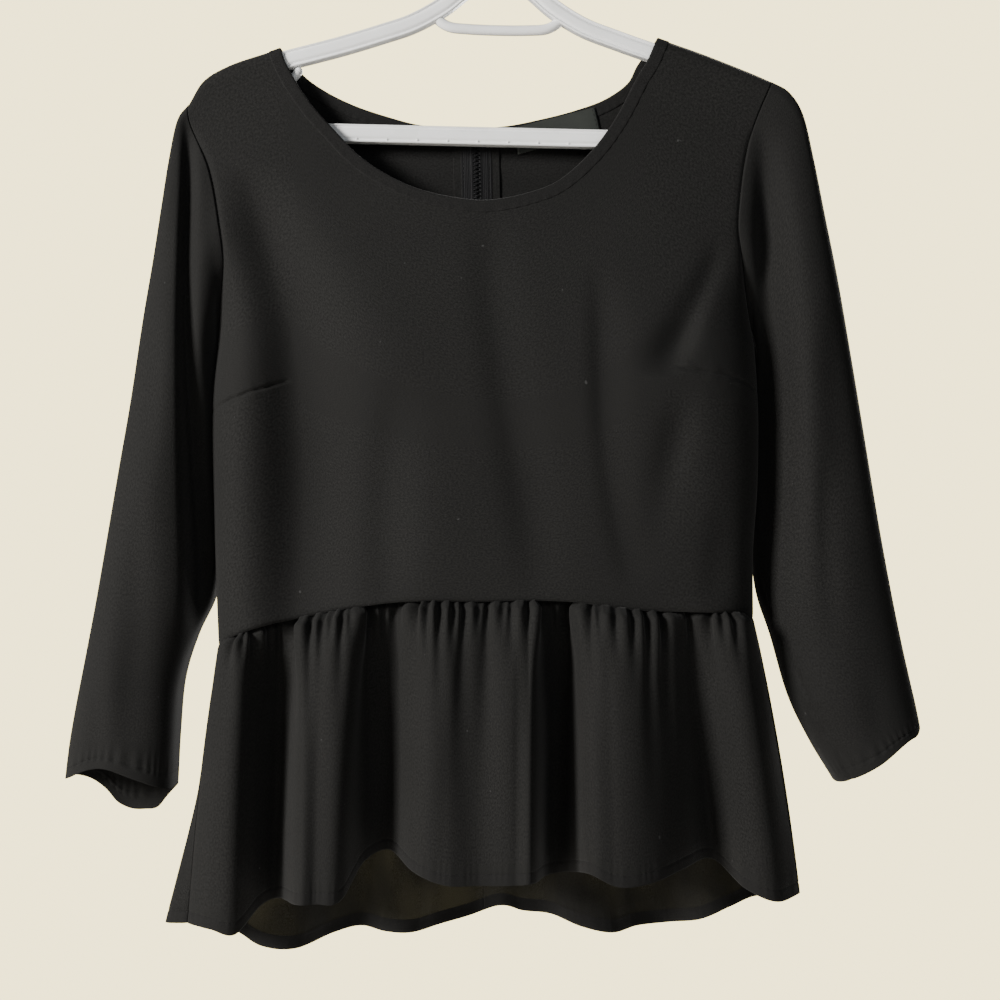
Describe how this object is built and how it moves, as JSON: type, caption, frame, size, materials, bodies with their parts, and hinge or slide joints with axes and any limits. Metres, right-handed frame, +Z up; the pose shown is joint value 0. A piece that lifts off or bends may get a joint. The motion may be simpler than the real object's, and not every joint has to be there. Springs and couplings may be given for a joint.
{
  "type": "peplum top on hanger",
  "caption": "Black scoop-neck peplum top with three-quarter sleeves and gathered peplum, hung on a white plastic hanger.",
  "frame": {"origin": "inner top of the hanger's hook, where a rail holds it", "axes": "+Z up, -Y out of the front of the top, +X to the right of someone looking at the front"},
  "size_m": [0.5774, 0.1043, 0.7569],
  "materials": {
    "hanger_plastic": "white moulded plastic, softly glossy",
    "black_crepe": "matt black woven crepe",
    "peplum_chiffon": "matt black crepe, a little sheer in one layer",
    "binding": "folded and pressed black crepe",
    "zip_tape": "black ribbed zip tape",
    "zip_metal": "black enamelled metal",
    "label_satin": "bare black satin ribbon"
  },
  "bodies": {
    "garment": {"hanger": "hanger_plastic", "front_bodice": "black_crepe", "back_bodice_left": "black_crepe", "back_bodice_right": "black_crepe", "neck_binding_front": "binding", "neck_binding_back_left": "binding", "neck_binding_back_right": "binding", "sleeve_left": "black_crepe", "sleeve_right": "black_crepe", "peplum_front": "peplum_chiffon", "peplum_back_left": "peplum_chiffon", "peplum_back_right": "peplum_chiffon", "zip_tape": "zip_tape", "zip_slider": "zip_metal", "neck_label": "label_satin"},
    "pull": {"zip_pull": "zip_metal"}
  },
  "joints": [
    {"name": "zip_pull_hinge", "type": "hinge", "parent": "garment", "child": "pull", "pos_m": [-0.01758, 0.01555, -0.20349], "axis": [1, 0, 0], "range_deg": [0, 150]}
  ]
}
